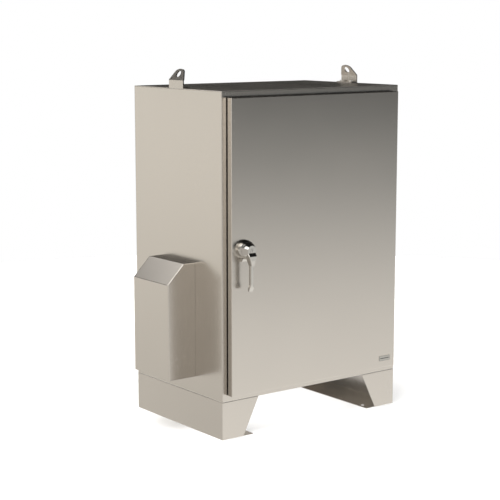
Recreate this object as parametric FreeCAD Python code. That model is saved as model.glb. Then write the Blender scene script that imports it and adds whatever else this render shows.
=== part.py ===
"""Free-standing stainless switchboard cabinet with one door, floor stands, lifting eyes and a vent hood.

Millimetres, +Z up, the door faces -Y. The origin is at floor level, at the middle of the anchor pattern.
Every function below returns one named piece (or one group of identical loose pieces).
"""
import FreeCAD, Part
import math
import os
from FreeCAD import Vector

# ---------------------------------------------------------------- driving dimensions
CABINET_WIDTH = 914.4
CABINET_DEPTH = 609.6
BODY_HEIGHT = 1219.2
STAND_HEIGHT = 152.4
SHEET = 2.0
SEAM_DEPTH = 0.7

HALF_W = CABINET_WIDTH / 2
HALF_D = CABINET_DEPTH / 2
BODY_BOTTOM = STAND_HEIGHT
BODY_TOP = STAND_HEIGHT + BODY_HEIGHT
RIM_Y = -HALF_D

# door opening in the front frame
RIM_WIDTH = 47.0
OPEN_X = HALF_W - RIM_WIDTH
OPEN_LOW = BODY_BOTTOM + RIM_WIDTH
OPEN_HIGH = BODY_TOP - RIM_WIDTH
LIP_DEPTH = 12.0

# door pan
DOOR_INSET = 25.4
DOOR_X = HALF_W - DOOR_INSET
DOOR_LOW = BODY_BOTTOM + DOOR_INSET
DOOR_HIGH = BODY_TOP - DOOR_INSET
DOOR_BACK_Y = RIM_Y - 5.0
DOOR_FRONT_Y = RIM_Y - 30.0
DOOR_INNER_Y = DOOR_FRONT_Y + SHEET
DOOR_EDGE_R = 1.4

# continuous hinge
HINGE_X = DOOR_X + 4.0
HINGE_Y = RIM_Y - 11.2
KNUCKLE_R = 4.0
HINGE_BORE_R = 2.5
HINGE_PIN_R = 2.44
LEAF = 1.5
KNUCKLE_COUNT = 19
KNUCKLE_GAP = 0.6
HINGE_LOW = DOOR_LOW + 5.0
HINGE_HIGH = DOOR_HIGH - 5.0

# handle and latch; depths "out" are measured forward from the door's face
HANDLE_X = -371.2
HANDLE_Z = 759.5
SHAFT_R = 6.0
SHAFT_BORE_R = 6.08
BUSH_R = 10.5
BASE_R = 38.3
BASE_RIM_OUT = 7.0
BASE_MIDDLE = (36.2, 17.0)
BASE_FRONT_R = 32.8
HUB_R = 32.5
HUB_MIDDLE = (27.5, 38.0)
HUB_FACE_R = 20.5
BASE_OUT = 26.0
HUB_START_OUT = 26.5
HUB_FRONT_OUT = 50.0
WEDGE_WIDTH = 28.0
WEDGE_REACH = 47.0
SHAFT_SOCKET = 10.0
LOCK_R = 8.5
LOCK_DEPTH = 12.0
CAM_FRONT_Y = RIM_Y + 7.8
CAM_THICKNESS = 6.0
CAM_BACK_Y = CAM_FRONT_Y + CAM_THICKNESS
CAM_R = 36.5
LATCH_TRAVEL = 20.0
DRIVE_PIN_START_R = 31.0
DRIVE_PIN_R = 2.5
SLOT_HALF_WIDTH = 2.9
ROD_WIDTH = 20.0
ROD_FRONT_Y = CAM_BACK_Y + 2.0
ROD_THICKNESS = 6.0
ROLLER_R = 9.0
ROLLER_WIDTH = 10.0
ROLLER_BORE_R = 3.06
AXLE_R = 3.0
ROLLER_Y = RIM_Y + SHEET + 0.5 + ROLLER_R
GUIDE_OFFSET_Z = 470.0

# vent hood and filter fan
HOOD_HALF_WIDTH = 124.0
HOOD_OUT = 130.5
HOOD_TOP_OUT = 54.5
HOOD_LOW = 223.5
HOOD_BEVEL_Z = 610.0
HOOD_TOP = 687.0
HOOD_EDGE_R = 2.5
FAN_Z = 430.0
FAN_OPENING = 180.0
FAN_PLATE_HALF = 104.0
DUCT_LENGTH = 48.0
DUCT_WALL = 3.5
DUCT_INNER_R = 78.5
IMPELLER_R = 74.0
BLADE_COUNT = 5
BLADE_PITCH = 32.0

# mounting panel
PANEL_X = 400.0
PANEL_LOW = 212.0
PANEL_HIGH = 1312.0
PANEL_FRONT_Y = 262.0
PANEL_THICKNESS = 3.0
STUD_R = 4.7
RAIL_DEPTH = 7.5
RAIL_FRONT_Y = PANEL_FRONT_Y - RAIL_DEPTH
UPPER_RAIL_Z = 985.0
MIDDLE_RAIL_Z = 700.0
LOWER_RAIL_Z = 420.0

# floor anchors
ANCHOR_X = HALF_W - 132.0
ANCHOR_Y = HALF_D - 47.0
ANCHOR_HOLE_R = 8.5
FOOT_WIDTH = 153.0
STAND_BOLT_HOLE_R = 4.5


# ---------------------------------------------------------------- small helpers
def box(x, y, z):
    """A block from three (low, high) pairs."""
    return Part.makeBox(x[1] - x[0], y[1] - y[0], z[1] - z[0], Vector(x[0], y[0], z[0]))


def around(middle, half):
    """The (low, high) pair that reaches half to each side of a middle."""
    return middle - half, middle + half


def cylinder(radius, start, end):
    start = Vector(*start)
    end = Vector(*end)
    return Part.makeCylinder(radius, (end - start).Length, start, end - start)


def prism(points, direction):
    """A closed polygon of 3-D points, pushed along a vector."""
    loop = [Vector(*p) for p in points]
    return Part.Face(Part.makePolygon(loop + [loop[0]])).extrude(Vector(*direction))


def hexagon(across_flats, start, direction):
    """A hexagonal prism starting at a point and reaching along an axis vector."""
    axis = Vector(*direction)
    radius = across_flats / math.sqrt(3)
    outline = [Vector(radius * math.cos(math.radians(60 * i)), radius * math.sin(math.radians(60 * i)), 0)
               for i in range(7)]
    shape = Part.Face(Part.makePolygon(outline)).extrude(Vector(0, 0, axis.Length))
    turn = FreeCAD.Rotation(Vector(0, 0, 1), axis)
    shape.Placement = FreeCAD.Placement(Vector(*start), turn)
    return shape


def fuse(shapes):
    first = shapes[0]
    return first.multiFuse(shapes[1:]).removeSplitter() if len(shapes) > 1 else first


def cut(shape, tools):
    return shape.cut(Part.makeCompound(tools))


def group(shapes):
    """Several loose solids that share one node."""
    return Part.makeCompound(shapes)


def runs_along(edge, axis):
    """True for a straight edge parallel to an axis letter."""
    span = edge.Vertexes[-1].Point - edge.Vertexes[0].Point
    if span.Length < 1e-6:
        return False
    return abs(abs(getattr(span, axis)) - span.Length) < 1e-6 * max(1.0, span.Length)


def round_edges(shape, radius, wanted):
    return shape.makeFillet(radius, [e for e in shape.Edges if wanted(e)])


def rounded_block(x, y, z, radius, axis):
    """A block whose four edges along one axis are rounded."""
    return round_edges(box(x, y, z), radius, lambda e: runs_along(e, axis))


def mirror_x(shape):
    return shape.mirror(Vector(0, 0, 0), Vector(1, 0, 0))


# ---------------------------------------------------------------- welded body
def left_side_wall():
    wall = box((-HALF_W, -HALF_W + SHEET), (-HALF_D, HALF_D), (BODY_BOTTOM + SHEET, BODY_TOP - SHEET))
    wall = round_edges(wall, 1.6, lambda e: runs_along(e, "z") and e.Vertexes[0].Point.x < -HALF_W + 0.1)
    half = FAN_OPENING / 2
    return wall.cut(box((-HALF_W - 1, -HALF_W + SHEET + 1), (-half, half), around(FAN_Z, half)))


def right_side_wall():
    wall = box((HALF_W - SHEET, HALF_W), (-HALF_D, HALF_D), (BODY_BOTTOM + SHEET, BODY_TOP - SHEET))
    return round_edges(wall, 1.6, lambda e: runs_along(e, "z") and e.Vertexes[0].Point.x > HALF_W - 0.1)


def deck(low, inset):
    """The roof's or the floor's sheet, with rounded corners."""
    half_x = HALF_W - inset
    half_y = HALF_D - inset
    return rounded_block((-half_x, half_x), (-half_y, half_y), (low, low + SHEET), 2.0, "z")


def roof_panel():
    holes = [cylinder(EYE_BOLT_HOLE_R, (x, y, BODY_TOP - 5), (x, y, BODY_TOP + 1))
             for x, y in eye_bolt_places()]
    return cut(deck(BODY_TOP - SHEET, 0), holes)


def floor_pan():
    """Floor sheet, set back a little so that a seam line shows between the body and its stands."""
    return cut(deck(BODY_BOTTOM, SEAM_DEPTH),
               [cylinder(STAND_BOLT_HOLE_R, (x, y, BODY_BOTTOM - 1), (x, y, BODY_BOTTOM + 5))
                for x, y in stand_bolt_places()])


def rear_wall():
    inner = HALF_W - SHEET
    return box((-inner, inner), (HALF_D - SHEET, HALF_D), (BODY_BOTTOM + SHEET, BODY_TOP - SHEET))


def front_frame():
    """Flat rim with a raised rain lip round the door opening."""
    inner = HALF_W - SHEET
    rim = box((-inner, inner), (RIM_Y, RIM_Y + SHEET), (BODY_BOTTOM + SHEET, BODY_TOP - SHEET))
    lip = box((-OPEN_X - SHEET, OPEN_X + SHEET), (RIM_Y - LIP_DEPTH, RIM_Y),
              (OPEN_LOW - SHEET, OPEN_HIGH + SHEET))
    opening = box((-OPEN_X, OPEN_X), (RIM_Y - LIP_DEPTH - 1, RIM_Y + SHEET + 1), (OPEN_LOW, OPEN_HIGH))
    return fuse([rim, lip]).cut(opening)


def floor_stand_left():
    """Folded stand: side, tapered front and rear legs, top flange and long inward foot."""
    outer = -HALF_W
    side = box((outer, outer + SHEET), (-HALF_D, HALF_D), (0, STAND_HEIGHT))
    side = round_edges(side, 1.6, lambda e: runs_along(e, "z") and e.Vertexes[0].Point.x < outer + 0.1)
    top_flange = box((outer, outer + 45), (-HALF_D, HALF_D), (STAND_HEIGHT - SHEET, STAND_HEIGHT))
    foot = box((outer, outer + FOOT_WIDTH), (-HALF_D, HALF_D), (0, SHEET))
    leg_outline = [(outer, 0), (outer + 105, 0), (outer + 180, STAND_HEIGHT), (outer, STAND_HEIGHT)]
    legs = [prism([(x, y, z) for x, z in leg_outline], (0, SHEET, 0)) for y in (-HALF_D, HALF_D - SHEET)]
    stand = fuse([side, top_flange, foot] + legs)
    holes = [cylinder(ANCHOR_HOLE_R, (-ANCHOR_X, y, -1), (-ANCHOR_X, y, SHEET + 1))
             for y in (-ANCHOR_Y, ANCHOR_Y)]
    holes += [cylinder(STAND_BOLT_HOLE_R, (x, y, STAND_HEIGHT - 5), (x, y, STAND_HEIGHT + 1))
              for x, y in stand_bolt_places() if x < 0]
    return cut(stand, holes)


def floor_stand_right():
    return mirror_x(floor_stand_left())


def stand_bolt_places():
    return [(side * (HALF_W - 25), y) for side in (-1, 1) for y in (-250, -85, 85, 250)]


BOLT_HEAD = 5.3
NUT_HEIGHT = 6.5
BOLT_END = 2.5
THREAD_GAP = 0.06


def bolt_and_nut(x, y, head_z, grip, radius, hex_size, head_below):
    """A hexagon bolt through a joint, and its nut on the other side."""
    up = 1 if head_below else -1
    head = hexagon(hex_size, (x, y, head_z), (0, 0, -up * BOLT_HEAD))
    shank = cylinder(radius, (x, y, head_z), (x, y, head_z + up * (grip + NUT_HEIGHT + BOLT_END)))
    nut_z = head_z + up * (grip + 0.05)
    nut = hexagon(hex_size, (x, y, nut_z), (0, 0, up * NUT_HEIGHT))
    nut = nut.cut(cylinder(radius + THREAD_GAP, (x, y, nut_z - up), (x, y, nut_z + up * (NUT_HEIGHT + 1))))
    return [fuse([head, shank]), nut]


def stand_bolts():
    pieces = []
    for x, y in stand_bolt_places():
        pieces += bolt_and_nut(x, y, STAND_HEIGHT - SHEET, 2 * SHEET, 4.0, 13.0, True)
    return group(pieces)


# ---------------------------------------------------------------- lifting eyes
EYE_WIDTH = 98.5
EYE_PLATE = 5.0
EYE_LEG = 30.5
EYE_LEAN = math.radians(28)
EYE_SLOPE = 49.0
EYE_FOOT = 33.0
EYE_SHOULDER_HALF = 28.0
EYE_SHOULDER_SLOPE = 39.3
EYE_SHOULDER_R = 7.0
EYE_HOLE_SLOPE = 27.0
EYE_HOLE_R = 14.0
EYE_BOLT_HOLE_R = 5.3


def eye_bolt_places():
    return [(side * (HALF_W - 20), y) for side in (-1, 1) for y in (-30, 30)]


def eye_hole_centre():
    """Middle of the left eye's hole, halfway through the leaning plate."""
    x = -HALF_W + EYE_PLATE + EYE_HOLE_SLOPE * math.sin(EYE_LEAN) - EYE_PLATE / 2 * math.cos(EYE_LEAN)
    z = BODY_TOP + EYE_LEG + EYE_HOLE_SLOPE * math.cos(EYE_LEAN) + EYE_PLATE / 2 * math.sin(EYE_LEAN)
    return x, z


def eye_outline(outer, bend_z):
    """The eye seen from the cabinet's side: an upright strip that tapers to a broad round top."""
    half = EYE_WIDTH / 2
    lean_z = math.cos(EYE_LEAN)
    shoulder_z = bend_z + EYE_SHOULDER_SLOPE * lean_z
    top_z = bend_z + EYE_SLOPE * lean_z
    x = outer - 5
    points = [Vector(x, -half, BODY_TOP - 1), Vector(x, half, BODY_TOP - 1), Vector(x, half, bend_z + 2),
              Vector(x, EYE_SHOULDER_HALF, shoulder_z), Vector(x, 0, top_z),
              Vector(x, -EYE_SHOULDER_HALF, shoulder_z), Vector(x, -half, bend_z + 2)]
    sides = [Part.LineSegment(points[i], points[i + 1]).toShape() for i in (0, 1, 2, 5)]
    crown = Part.Arc(points[3], points[4], points[5]).toShape()
    base = Part.LineSegment(points[6], points[0]).toShape()
    outline = Part.Face(Part.Wire(Part.__sortEdges__(sides + [crown, base])))
    body = outline.extrude(Vector(80, 0, 0))
    at_shoulder = lambda e: runs_along(e, "x") and abs(e.Vertexes[0].Point.z - shoulder_z) < 0.1
    return round_edges(body, EYE_SHOULDER_R, at_shoulder)


def lifting_eye_left():
    outer = -HALF_W
    lean_x = math.sin(EYE_LEAN)
    lean_z = math.cos(EYE_LEAN)
    bend_z = BODY_TOP + EYE_LEG
    inner_bend = (outer + EYE_PLATE, bend_z)
    inner_top = (inner_bend[0] + EYE_SLOPE * lean_x, inner_bend[1] + EYE_SLOPE * lean_z)
    outer_top = (inner_top[0] - EYE_PLATE * lean_z, inner_top[1] + EYE_PLATE * lean_x)
    outer_bend = (outer, bend_z + EYE_PLATE * math.tan(EYE_LEAN / 2))
    side_view = [(outer, BODY_TOP), outer_bend, outer_top, inner_top, inner_bend,
                 (outer + EYE_PLATE, BODY_TOP + EYE_PLATE), (outer + EYE_FOOT, BODY_TOP + EYE_PLATE),
                 (outer + EYE_FOOT, BODY_TOP)]
    half = EYE_WIDTH / 2
    strip = prism([(x, -half, z) for x, z in side_view], (0, EYE_WIDTH, 0))
    eye = strip.common(eye_outline(outer, bend_z + EYE_PLATE * lean_x))
    hole_x, hole_z = eye_hole_centre()
    through = 12.0
    eye = eye.cut(cylinder(EYE_HOLE_R, (hole_x - through * lean_z, 0, hole_z + through * lean_x),
                           (hole_x + through * lean_z, 0, hole_z - through * lean_x)))
    return cut(eye, [cylinder(EYE_BOLT_HOLE_R, (x, y, BODY_TOP - 1), (x, y, BODY_TOP + 7))
                     for x, y in eye_bolt_places() if x < 0])


def lifting_eye_right():
    return mirror_x(lifting_eye_left())


def lifting_eye_bolts():
    pieces = []
    for x, y in eye_bolt_places():
        pieces += bolt_and_nut(x, y, BODY_TOP + EYE_PLATE, EYE_PLATE + SHEET, 5.0, 15.0, False)
    return group(pieces)


# ---------------------------------------------------------------- vent hood and fan
def hood_outline(wall, inset):
    """The hood's side view, drawn inset by the sheet's thickness when asked."""
    bevel = inset * math.tan(math.radians(22.5))
    return [(wall, HOOD_LOW - (1 if inset else 0)), (wall, HOOD_TOP - inset),
            (-HALF_W - HOOD_TOP_OUT + bevel, HOOD_TOP - inset),
            (-HALF_W - HOOD_OUT + inset, HOOD_BEVEL_Z - bevel),
            (-HALF_W - HOOD_OUT + inset, HOOD_LOW - (1 if inset else 0))]


def vent_hood():
    """Rain hood welded to the wall, open underneath."""
    half = HOOD_HALF_WIDTH
    outer = prism([(x, -half, z) for x, z in hood_outline(-HALF_W, 0)], (0, 2 * half, 0))
    off_wall = lambda e: e.BoundBox.XMin < -HALF_W - 1 and e.BoundBox.ZMax > HOOD_LOW + 1
    outer = round_edges(outer, HOOD_EDGE_R, off_wall)
    half -= SHEET
    inner = prism([(x, -half, z) for x, z in hood_outline(-HALF_W + 1, SHEET)], (0, 2 * half, 0))
    return outer.cut(inner)


def filter_mat():
    half = FAN_OPENING / 2 - 2
    return box((-HALF_W - 8, -HALF_W + SHEET), (-half, half), around(FAN_Z, half))


def fan_housing():
    """Square plate on the wall's inside, round duct and a three-legged motor cup."""
    wall_x = -HALF_W + SHEET
    duct_end = wall_x + DUCT_LENGTH
    half = FAN_PLATE_HALF
    plate = rounded_block((wall_x, wall_x + 6), (-half, half), around(FAN_Z, half), 8, "x")
    duct = cylinder(DUCT_INNER_R + DUCT_WALL, (wall_x, 0, FAN_Z), (duct_end, 0, FAN_Z))
    shell = fuse([plate, duct]).cut(cylinder(DUCT_INNER_R, (wall_x - 1, 0, FAN_Z), (duct_end + 1, 0, FAN_Z)))
    cup_start = duct_end - 7
    cup_end = duct_end + 3
    cup = cylinder(21, (cup_start, 0, FAN_Z), (cup_end, 0, FAN_Z))
    legs = []
    for i in range(3):
        leg = box((duct_end - 5, duct_end - 1), (-3, 3), (FAN_Z + 18, FAN_Z + DUCT_INNER_R + 2))
        leg.rotate(Vector(0, 0, FAN_Z), Vector(1, 0, 0), 120 * i)
        legs.append(leg)
    bearing = cylinder(3.06, (cup_start - 1, 0, FAN_Z), (cup_end - 2, 0, FAN_Z))
    return fuse([shell, cup] + legs).cut(bearing)


def fan_impeller():
    """Five-bladed impeller with its hub and spindle."""
    front = -HALF_W + SHEET + 14
    back = front + 24
    hub = cylinder(20, (front, 0, FAN_Z), (back, 0, FAN_Z))
    hub = round_edges(hub, 2, lambda e: e.BoundBox.XMax < front + 0.1 and e.Length > 60)
    spindle = cylinder(3.0, (back - 1, 0, FAN_Z), (back + 9, 0, FAN_Z))
    blades = []
    middle = Vector(front + 11.5, 0, FAN_Z)
    for i in range(BLADE_COUNT):
        blade = box((middle.x - 1, middle.x + 1), (-17, 17), (FAN_Z + 15, FAN_Z + IMPELLER_R - 3))
        blade.rotate(middle, Vector(0, 0, 1), BLADE_PITCH)
        blade.rotate(middle, Vector(1, 0, 0), 360 / BLADE_COUNT * i)
        blades.append(blade)
    return fuse([hub, spindle] + blades)


def fan_guard():
    """Wire finger guard on the duct's inner end."""
    duct_end = -HALF_W + SHEET + DUCT_LENGTH
    wire = 1.2
    plane = duct_end + 7
    rings = [Part.makeTorus(r, wire, Vector(plane, 0, FAN_Z), Vector(1, 0, 0)) for r in (30, 43, 56, 69, 80)]
    spokes = []
    for i in range(4):
        spoke = cylinder(1.5, (plane, 0, FAN_Z + 29.6), (plane, 0, FAN_Z + 80))
        post = cylinder(1.8, (plane + 1, 0, FAN_Z + 80), (duct_end, 0, FAN_Z + 80))
        for wire_piece in (spoke, post):
            wire_piece.rotate(Vector(0, 0, FAN_Z), Vector(1, 0, 0), 45 + 90 * i)
            spokes.append(wire_piece)
    return fuse(rings + spokes)


# ---------------------------------------------------------------- hinge
def knuckle_spans(owner):
    """(low, high) heights of one leaf's knuckles: owner 0 is the body, 1 is the door."""
    pitch = (HINGE_HIGH - HINGE_LOW) / KNUCKLE_COUNT
    return [(HINGE_LOW + i * pitch + KNUCKLE_GAP / 2, HINGE_LOW + (i + 1) * pitch - KNUCKLE_GAP / 2)
            for i in range(KNUCKLE_COUNT) if i % 2 == owner]


def hinge_leaf(plates, relief, owner):
    """Plates plus this leaf's knuckles, relieved where the other leaf's knuckles turn."""
    barrels = [cylinder(KNUCKLE_R, (HINGE_X, HINGE_Y, low), (HINGE_X, HINGE_Y, high))
               for low, high in knuckle_spans(owner)]
    reliefs = [box(relief[0], relief[1], (low - KNUCKLE_GAP, high + KNUCKLE_GAP))
               for low, high in knuckle_spans(1 - owner)]
    bore = cylinder(HINGE_BORE_R, (HINGE_X, HINGE_Y, HINGE_LOW - 1), (HINGE_X, HINGE_Y, HINGE_HIGH + 1))
    leaf = cut(fuse(plates), reliefs)
    return fuse([leaf] + barrels).cut(bore)


def hinge_leaf_body():
    upright_x = HINGE_X + KNUCKLE_R - LEAF
    upright = box((upright_x, upright_x + LEAF), (HINGE_Y, RIM_Y), (HINGE_LOW, HINGE_HIGH))
    foot = box((upright_x, HALF_W - 1), (RIM_Y - LEAF, RIM_Y), (HINGE_LOW, HINGE_HIGH))
    relief = ((upright_x - 1, upright_x + LEAF + 1), (HINGE_Y - 1, HINGE_Y + 4.5))
    return hinge_leaf([upright, foot], relief, 0)


def hinge_leaf_door():
    plate = box((DOOR_X, DOOR_X + LEAF), (DOOR_FRONT_Y + 4, HINGE_Y), (HINGE_LOW, HINGE_HIGH))
    relief = ((DOOR_X - 1, DOOR_X + LEAF + 1), (HINGE_Y - 4.5, HINGE_Y + 1))
    return hinge_leaf([plate], relief, 1)


def hinge_pin():
    return cylinder(HINGE_PIN_R, (HINGE_X, HINGE_Y, HINGE_LOW - 1.5), (HINGE_X, HINGE_Y, HINGE_HIGH + 1.5))


# ---------------------------------------------------------------- door
def door_panel():
    """Folded door pan with the handle's hole."""
    pan = box((-DOOR_X, DOOR_X), (DOOR_FRONT_Y, DOOR_BACK_Y), (DOOR_LOW, DOOR_HIGH))
    pan = round_edges(pan, DOOR_EDGE_R, lambda e: runs_along(e, "y") or e.BoundBox.YMax < DOOR_FRONT_Y + 0.1)
    hollow = box((-DOOR_X + SHEET, DOOR_X - SHEET), (DOOR_INNER_Y, DOOR_BACK_Y + 1),
                 (DOOR_LOW + SHEET, DOOR_HIGH - SHEET))
    return cut(pan, [hollow, on_handle_axis(BUSH_R + 0.5, 1, -SHEET - 1)])


def door_gasket():
    """Foam ring that the rain lip presses on."""
    centre = SHEET / 2
    half = 7.0
    depth = (DOOR_INNER_Y, RIM_Y - LIP_DEPTH - 0.3)
    past_lip = centre + half
    outer = rounded_block((-OPEN_X - past_lip, OPEN_X + past_lip), depth,
                          (OPEN_LOW - past_lip, OPEN_HIGH + past_lip), 12, "y")
    short_of_lip = half - centre
    inner = rounded_block((-OPEN_X + short_of_lip, OPEN_X - short_of_lip), (depth[0] - 1, depth[1] + 1),
                          (OPEN_LOW + short_of_lip, OPEN_HIGH - short_of_lip), 5, "y")
    return outer.cut(inner)


def door_stiffeners():
    """Two hat channels welded inside the door."""
    channels = []
    for x in (-290.0, 300.0):
        brim = box(around(x, 32), (DOOR_INNER_Y, DOOR_INNER_Y + SHEET), (215, 1309))
        hat = box(around(x, 18), (DOOR_INNER_Y, DOOR_INNER_Y + 18), (215, 1309))
        hollow = box(around(x, 16), (DOOR_INNER_Y - 1, DOOR_INNER_Y + 16), (214, 1310))
        channels.append(fuse([brim, hat]).cut(hollow))
    return group(channels)


POCKET_X = (-100.0, 205.0)
POCKET_Z = (540.0, 845.0)
POCKET_DEPTH = 34.0


def data_pocket():
    """Open-topped document pocket on the door's inside."""
    wall = 3.0
    depth = (DOOR_INNER_Y, DOOR_INNER_Y + POCKET_DEPTH)
    pocket = round_edges(box(POCKET_X, depth, POCKET_Z), 6,
                         lambda e: runs_along(e, "y") and e.BoundBox.ZMax < POCKET_Z[0] + 1)
    hollow = box((POCKET_X[0] + wall, POCKET_X[1] - wall), (depth[0] + wall, depth[1] - wall),
                 (POCKET_Z[0] + wall, POCKET_Z[1] + 1))
    dip = prism([(POCKET_X[0] + 55, depth[1] - wall - 1, POCKET_Z[1] + 1),
                 (POCKET_X[0] + 85, depth[1] - wall - 1, POCKET_Z[1] - 70),
                 (POCKET_X[1] - 85, depth[1] - wall - 1, POCKET_Z[1] - 70),
                 (POCKET_X[1] - 55, depth[1] - wall - 1, POCKET_Z[1] + 1)], (0, wall + 2, 0))
    return pocket.cut(hollow).cut(dip)


def label_plate():
    return rounded_block((345.8, 406.8), (DOOR_FRONT_Y - 0.8, DOOR_FRONT_Y), (206, 228), 2.5, "y")


def turned(profile):
    """Turns (radius, out) points and arcs about the handle's axis; an arc is given by its three points."""
    edges = []
    for points in profile:
        spots = [Vector(r, DOOR_FRONT_Y - out, 0) for r, out in points]
        edges.append(Part.LineSegment(*spots).toShape() if len(spots) == 2 else Part.Arc(*spots).toShape())
    face = Part.Face(Part.Wire(Part.__sortEdges__(edges)))
    body = face.revolve(Vector(0, 0, 0), Vector(0, 1, 0), 360)
    body.translate(Vector(HANDLE_X, 0, HANDLE_Z))
    return body


def on_handle_axis(radius, out_start, out_end):
    """A cylinder on the handle's axis between two depths in front of the door's face."""
    return cylinder(radius, (HANDLE_X, DOOR_FRONT_Y - out_start, HANDLE_Z),
                    (HANDLE_X, DOOR_FRONT_Y - out_end, HANDLE_Z))


def handle_base():
    """Domed chrome base fixed to the door, with a wedge under it and a threaded bush through the door."""
    dome = turned([[(0, 0), (BASE_R, 0)], [(BASE_R, 0), (BASE_R, BASE_RIM_OUT)],
                   [(BASE_R, BASE_RIM_OUT), BASE_MIDDLE, (BASE_FRONT_R, BASE_OUT)],
                   [(BASE_FRONT_R, BASE_OUT), (0, BASE_OUT)], [(0, BASE_OUT), (0, 0)]])
    face = DOOR_FRONT_Y
    start = HANDLE_X - WEDGE_WIDTH / 2
    low, high = HANDLE_Z - WEDGE_REACH, HANDLE_Z - WEDGE_REACH + 20
    wedge = prism([(start, face, low), (start, face - 4, low), (start, face - 16, high), (start, face, high)],
                  (WEDGE_WIDTH, 0, 0))
    bush = on_handle_axis(BUSH_R, 1, -14)
    bore = on_handle_axis(SHAFT_BORE_R, BASE_OUT + 1, -15)
    return fuse([dome, wedge, bush]).cut(bore)


def handle_nut():
    nut = hexagon(30.0, (HANDLE_X, DOOR_INNER_Y, HANDLE_Z), (0, 6, 0))
    return nut.cut(on_handle_axis(BUSH_R + 0.08, 0, -14))


def lever_section(width, out_back, out_front, z, corner):
    """Rounded-rectangle outline across the lever."""
    half = width / 2
    low = DOOR_FRONT_Y - out_front
    high = DOOR_FRONT_Y - out_back
    x0, x1 = HANDLE_X - half, HANDLE_X + half
    k = corner * (1 - math.sqrt(0.5))
    corners = [((x1 - corner, low), (x1 - k, low + k), (x1, low + corner)),
               ((x1, high - corner), (x1 - k, high - k), (x1 - corner, high)),
               ((x0 + corner, high), (x0 + k, high - k), (x0, high - corner)),
               ((x0, low + corner), (x0 + k, low + k), (x0 + corner, low))]
    edges = []
    for i, bend in enumerate(corners):
        points = [Vector(x, y, z) for x, y in bend]
        edges.append(Part.Arc(*points).toShape())
        nxt = corners[(i + 1) % 4][0]
        edges.append(Part.LineSegment(points[2], Vector(nxt[0], nxt[1], z)).toShape())
    return Part.Wire(edges)


# lever cross-sections: height from the axis, width, back and front depths, corner radius
SHOULDER = ((-8, 38, 27, HUB_FRONT_OUT, 4), (-21, 37, 27, 59, 4))
NECK = ((-21, 37, 27, 59, 4), (-38, 25.5, 31, 59, 4), (-58, 16, 36, 58.5, 4))
BLADE = ((-55, 14, 37, 52.5, 4), (-134, 14, 37, 52.5, 4))
TIP = ((-134, 14, 37, 52.5, 4), (-142, 17.5, 36.6, 52.3, 4), (-149, 24, 36.5, 50, 4), (-160, 21, 38, 44.6, 3))


def lever_run(sections):
    """Joins cross-sections into a solid with straight sides."""
    return Part.makeLoft([lever_section(width, back, front, HANDLE_Z + height, corner)
                          for height, width, back, front, corner in sections], True, True)


def handle_lever():
    """Round hub, broad shoulder and a slim lever hanging down with a wider tip."""
    hub = turned([[(0, HUB_START_OUT), (HUB_R, HUB_START_OUT)],
                  [(HUB_R, HUB_START_OUT), HUB_MIDDLE, (HUB_FACE_R, HUB_FRONT_OUT)],
                  [(HUB_FACE_R, HUB_FRONT_OUT), (0, HUB_FRONT_OUT)],
                  [(0, HUB_FRONT_OUT), (0, HUB_START_OUT)]])
    lever = fuse([hub] + [lever_run(sections) for sections in (SHOULDER, NECK, BLADE, TIP)])
    shaft_socket = on_handle_axis(SHAFT_R + 0.1, HUB_START_OUT - 1, HUB_START_OUT + SHAFT_SOCKET)
    lock_socket = on_handle_axis(LOCK_R + 0.3, HUB_FRONT_OUT - LOCK_DEPTH, HUB_FRONT_OUT + 1)
    return cut(lever, [shaft_socket, lock_socket])


def lock_plug():
    """Key cylinder in the hub's face, with its key slot."""
    plug = on_handle_axis(LOCK_R, HUB_FRONT_OUT - LOCK_DEPTH, HUB_FRONT_OUT + 1.2)
    front = DOOR_FRONT_Y - HUB_FRONT_OUT
    plug = round_edges(plug, 0.8, lambda e: e.BoundBox.YMax < front - 1.0)
    slot = box(around(HANDLE_X, 1.0), (front - 2, front + 5), around(HANDLE_Z, 4.5))
    return plug.cut(slot)


def handle_shaft():
    """Shaft from the lever's hub through the door to the cam, with a square end."""
    hub_end = DOOR_FRONT_Y - HUB_START_OUT - SHAFT_SOCKET
    shaft = cylinder(SHAFT_R, (HANDLE_X, hub_end, HANDLE_Z), (HANDLE_X, CAM_FRONT_Y, HANDLE_Z))
    square = box(around(HANDLE_X, 3.9), (CAM_FRONT_Y - 1, CAM_FRONT_Y + 3), around(HANDLE_Z, 3.9))
    tapped = cylinder(2.0, (HANDLE_X, CAM_FRONT_Y - 8, HANDLE_Z), (HANDLE_X, CAM_FRONT_Y + 4, HANDLE_Z))
    return fuse([shaft, square]).cut(tapped)


def spiral_slot(start_angle):
    """A quarter-turn slot whose distance from the shaft shrinks evenly with the angle."""
    quarter = math.pi / 2
    margin = math.radians(2.5)
    steps = 24

    def centre(angle):
        radius = DRIVE_PIN_START_R - LATCH_TRAVEL * angle / quarter
        return Vector(HANDLE_X + radius * math.sin(angle + start_angle), 0,
                      HANDLE_Z + radius * math.cos(angle + start_angle))

    def side(angle, sign):
        step = 1e-4
        tangent = (centre(angle + step) - centre(angle - step)).normalize()
        return centre(angle) + Vector(tangent.z, 0, -tangent.x) * (sign * SLOT_HALF_WIDTH)

    angles = [-margin + (quarter + 2 * margin) * i / steps for i in range(steps + 1)]
    left = Part.BSplineCurve()
    left.interpolate([side(a, 1) for a in angles])
    right = Part.BSplineCurve()
    right.interpolate([side(a, -1) for a in reversed(angles)])
    ends = []
    for angle, outward in ((angles[-1], 1), (angles[0], -1)):
        step = 1e-4
        tangent = (centre(angle + step) - centre(angle - step)).normalize() * (outward * SLOT_HALF_WIDTH)
        ends.append(Part.Arc(side(angle, outward), centre(angle) + tangent, side(angle, -outward)).toShape())
    outline = Part.Wire([left.toShape(), ends[0], right.toShape(), ends[1]])
    slot = Part.Face(outline).extrude(Vector(0, CAM_THICKNESS + 2, 0))
    slot.translate(Vector(0, CAM_FRONT_Y - 1, 0))
    return slot


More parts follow.
